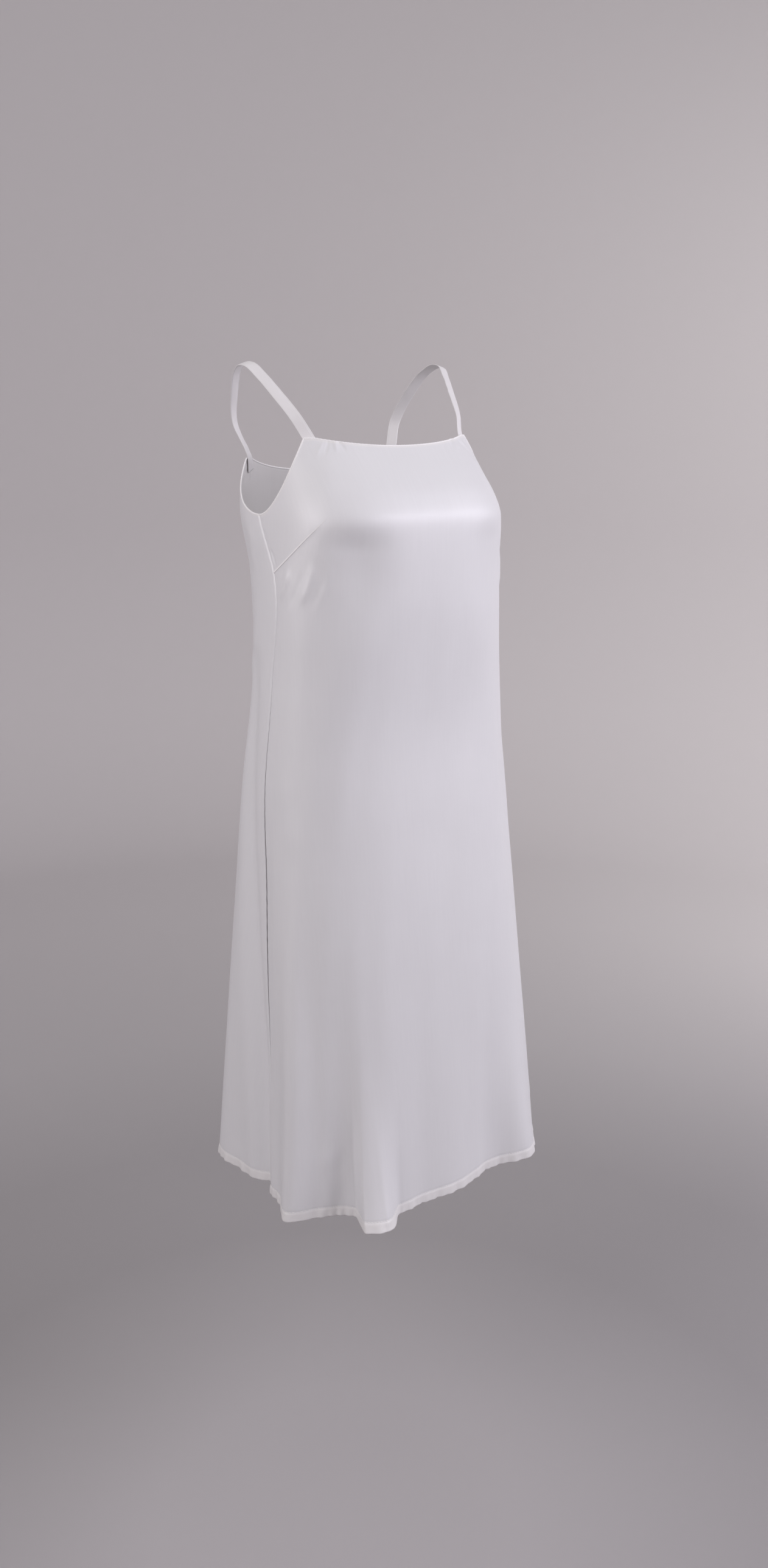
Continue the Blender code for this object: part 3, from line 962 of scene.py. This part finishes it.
def dart(hand):
    """Rows from the sewn line down to the fold, columns from the seam to the bust point."""
    place = np.linspace(DART_START, DART_END, 60)[None, :]
    share = np.linspace(1, 0, 11)[:, None]
    along = (place - DART_START) / (DART_END - DART_START)
    depth = DART_DEPTH + (DART_END_DEPTH - DART_DEPTH) * along
    level = dart_line(place) - 0.0010 - depth * share
    inward = DART_BEHIND + DART_BULGE * np.sin(np.pi * share) * (1 - along) + 0 * level
    points = inner_point("front", place + 0 * level, level, inward)
    uv = np.stack([place * DART_GIRTH + 0 * level, level - HEM_LEVEL], axis=-1)
    if hand == "left":
        points, uv = other_side(points), uv[:, ::-1]
    return cloth_sheet("dart_cloth_" + hand, points, uv, np.ones_like(level), [TURNED_SATIN],
                       DART_WALL)


for hand in HANDS:
    tuck = dart(hand)
    settle(tuck, "dart_" + hand)

# %% [markdown]
# ## Straps
# Each strap is a strip folded and pressed flat, with its sewn edge near one side.  It rises from
# behind the neckline, over the shoulder and down behind the back, and its width turns from the
# line of the neckline to the slope of the shoulder and back.  Its route is a list of given points,
# which a smooth curve runs through.

# %% Strap route
STRAP_WIDTH, STRAP_THICK, STRAP_INSIDE, STRAP_LEAN = 0.012, 0.0012, 0.014, 0.022
SHOULDER_SLOPE = 0.35
STRAP_STEPS = 300
STRAP_ROUTE = np.array([
    (0.1085, -0.0640, -0.0540),
    (0.1165, -0.0420, -0.0310),
    (0.1235, -0.0220, -0.0120),
    (0.1280, -0.0080, -0.0015),
    (0.1290, 0.0040, 0.0000),
    (0.1265, 0.0200, -0.0070),
    (0.1195, 0.0400, -0.0290),
    (0.1100, 0.0570, -0.0620),
])


def sewn_end(side):
    """Middle points of the strap behind a panel, and the direction across it."""
    outer, inner = strap_edges(side)
    down = np.linspace(STRAP_INSIDE, 0.001, 3)[:, None]
    place = np.array([[1 - inner, 1 - outer]]) - STRAP_LEAN * down / STRAP_INSIDE
    rows = inner_point(side, place, EDGE[side][0] - down, 0.0020 + 0 * place)
    return rows.mean(axis=1), rows[:, 1] - rows[:, 0]


def strap_frame():
    """Middle line of the left strap, the outward direction along it, and the strap's length."""
    start, start_across = sewn_end("front")
    end, end_across = sewn_end("back")
    knots = np.concatenate([start, STRAP_ROUTE, end[::-1]])
    walked = np.concatenate([[0], np.cumsum(np.linalg.norm(np.diff(knots, axis=0), axis=1))])
    at = np.linspace(0, walked[-1], STRAP_STEPS)
    line = np.stack([smooth_between(walked, knots[:, k], at) for k in range(3)], axis=1)
    slope = np.array([(STRAP_WIDTH, 0, -SHOULDER_SLOPE * STRAP_WIDTH)])
    turns = np.concatenate([start_across[[0, 2]], slope, end_across[[2, 0]]])
    turn_at = walked[[0, 2, 7, -3, -1]]
    across = np.stack([smooth_between(turn_at, turns[:, k], at) for k in range(3)], axis=1)
    ahead = np.gradient(line, axis=0)
    out = np.cross(across, ahead)
    return line, out / np.linalg.norm(out, axis=1, keepdims=True), walked[-1]


print("strap route of", len(STRAP_ROUTE), "points,", round(float(strap_frame()[2]), 4), "m long")

# %% Straps
def strap(hand):
    """A flat profile with round edges and a sewn groove, carried along the strap's route.

    across is half the width times cos(t) to the power 2/7, and out is half the thickness times
    sin(t) to the power 2/3, so the band is flat and its edges are round."""
    line, out, length = strap_frame()
    turn = full_turn(56)
    across = STRAP_WIDTH / 2 * np.sign(np.cos(turn)) * np.abs(np.cos(turn)) ** (2 / 7)
    lift = STRAP_THICK / 2 * np.sign(np.sin(turn)) * np.abs(np.sin(turn)) ** (2 / 3)
    at = np.linspace(0, length, len(line))[None, :, None]
    groove = 0.00022 * bell(across, -0.0046, 0.0004) * np.sign(lift)
    soft = 0.00012 * np.sin(at / 0.0031 + 2 * np.sin(at / 0.014)) * bell(across, -0.0052, 0.002)
    wavy = 0.00015 * np.sin(at / 0.011 + across * 300)
    points = swept(line[None], out[None], across * (1 + 0.012 * np.sin(at / 0.009)),
                   lift - groove + soft + wavy)
    if hand == "right":
        points = other_side(points)
    piece = swept_piece("satin_strap_" + hand, points, 2 * STRAP_WIDTH, STRAP_SATIN)
    return piece, length


for hand in HANDS:
    band, strap_length = strap(hand)
    settle(band, "strap_" + hand)
    print(band.name, "is", round(float(strap_length), 4), "m long")

# %% [markdown]
# ## What the cloth was cut to
# The cut size of the two panels, flat and in square metres, is listed and printed: cloth hardly
# stretches, so the worn shape keeps about this much cloth.

# %% Sheets
CUTS = {"front": ((0.590, 0.876), 0.377), "back": ((0.673, 0.833), 0.420)}
for side, (flat, area) in CUTS.items():
    print(side, "panel cut", flat, "m,", area, "square metres")

# %% [markdown]
# ## Floor, backdrop and light
# A pale paper sweep runs from the floor up into the wall with no corner, all round, so that the
# dress can be looked at from every side.  Two soft boxes face the dress.  The one on the camera's
# right is stronger and cooler, and gives the front its even tone and the gloss along the bust.
# The one on the left is weaker and warmer, and stands further round, so that it shapes the side.
# A third box lights the paper wall behind, on the right.  The room's own light fills in.

# %% Paper sweep
HEM_ABOVE_FLOOR = 0.4105
FLOOR_LEVEL = HEM_LEVEL - HEM_ABOVE_FLOOR
SWEEP_RADIUS, SWEEP_BEND, SWEEP_HEIGHT = 3.2, 0.9, 3.4
SWEEP_AROUND = 128
# Share of the radius and brightness of a painted shade: light under the dress, a dark
# painted-shade ring, pale at the wall.
PAINTED_SHADE_TONES = ((0.0, 0.46), (0.07, 0.45), (0.19, 0.34), (0.28, 0.34), (0.42, 0.42), (0.64, 0.50),
               (1.0, 0.59))
# The painted shade ring is set off centre, so the paper is painted darker on one side.
PAINTED_SHADE_SHIFT = (0.14, 0.17, 0)                # how far the ring's centre is off the dress


def sweep_profile():
    """Radius and height: a flat floor, a quarter circle, and an upright wall."""
    bend = np.linspace(0, np.pi / 2, 24)
    radius = np.concatenate([np.linspace(0.2, SWEEP_RADIUS - SWEEP_BEND, 12)[:-1],
                             SWEEP_RADIUS - SWEEP_BEND + SWEEP_BEND * np.sin(bend),
                             np.full(5, SWEEP_RADIUS)])
    height = np.concatenate([np.zeros(11), SWEEP_BEND * (1 - np.cos(bend)),
                             np.linspace(SWEEP_BEND, SWEEP_HEIGHT, 6)[1:]])
    return radius[:, None], height[:, None] + FLOOR_LEVEL


def paper():
    """Matt warm-grey paper with fine tooth, and a painted shade: a little darker in a wide ring
    round the dress.
    """
    material, tree, shader = new_material("paper")
    place = add_node(tree, "TexCoord", {}).outputs["Object"]
    flat = add_node(tree, "VectorMath", {0: place, 1: (1, 1, 0), 2: PAINTED_SHADE_SHIFT},
                    operation="MULTIPLY_ADD")
    far = add_node(tree, "VectorMath", {0: flat.outputs[0]}, operation="LENGTH")
    # The ring is painted shade in the paper's colour, darker round the dress than at the wall.
    ring = add_node(tree, "ValToRGB", {
        0: math_node(tree, "DIVIDE", far.outputs["Value"], SWEEP_RADIUS)})
    for _ in PAINTED_SHADE_TONES[2:]:
        ring.color_ramp.elements.new(0.5)
    for element, (at, tone) in zip(ring.color_ramp.elements, PAINTED_SHADE_TONES):
        element.position = at
        element.color = (tone, tone * 0.96, tone * 0.975, 1)
    tooth = add_node(tree, "TexNoise", {"Vector": place, "Scale": 600.0})
    feed(tree, shader, {"Base Color": ring.outputs[0], "Roughness": 0.9,
                        "Specular IOR Level": 0.2})
    add_relief(tree, shader, tooth.outputs["Fac"], 0.0002, 0.3)
    return material


def paper_sweep():
    """The profile carried once round the dress, with one face for the middle of the floor."""
    radius, height = sweep_profile()
    turn = full_turn(SWEEP_AROUND)
    points = np.stack([radius * np.cos(turn), radius * np.sin(turn), height + 0 * turn], axis=-1)
    faces = grid_faces(*points.shape[:2], around=True)
    return make_piece("paper_sweep", points, faces[:, ::-1], np.zeros((len(faces), 4, 2)),
                      [paper()], caps=[list(range(SWEEP_AROUND))])


sweep = paper_sweep()
print("floor at", round(FLOOR_LEVEL, 4), "m")

# %% Soft boxes and room light
DRESS_MIDDLE = np.array([0.0, -0.03, -0.45])


def aimed_box(name, at, target, size, power, colour):
    """An area light at one point that faces another and isn't seen itself."""
    data = bpy.data.lights.new(name, "AREA")
    data.shape = "RECTANGLE"
    data.size, data.size_y = size
    data.energy = power
    data.color = colour
    light = bpy.data.objects.new(name, data)
    light.location = at
    back = np.array(at) - np.array(target)
    flat = np.hypot(back[0], back[1])
    light.rotation_euler = (np.arctan2(flat, back[2]), 0, np.arctan2(back[0], -back[1]))
    light.visible_camera = False
    bpy.context.scene.collection.objects.link(light)


def soft_box(name, direction, distance, size, power, colour):
    """An area light that faces the middle of the dress from a direction and a distance."""
    toward = np.array(direction) / np.linalg.norm(direction)
    aimed_box(name, DRESS_MIDDLE + toward * distance, DRESS_MIDDLE, size, power, colour)


soft_box("right_box", (0.66, -0.75, 0.40), 2.3, (2.0, 1.6), 36.5, (0.94, 0.915, 1.0))
soft_box("left_box", (-1.0, -0.10, 0.45), 2.0, (1.3, 1.3), 15.0, (0.99, 0.95, 0.97))
aimed_box("wall_box", (2.10, 0.10, 0.05), (2.20, 1.40, -0.45), (0.8, 1.8), 15.0, (1.0, 0.98, 0.95))

world = bpy.data.worlds.new("room_light")
world.use_nodes = True
feed(world.node_tree, world.node_tree.nodes["Background"],
     {"Color": (0.96, 0.935, 0.95, 1), "Strength": 0.61})
bpy.context.scene.world = world
bpy.context.scene.view_settings.view_transform = "Standard"
print("three soft boxes and the room's own light")
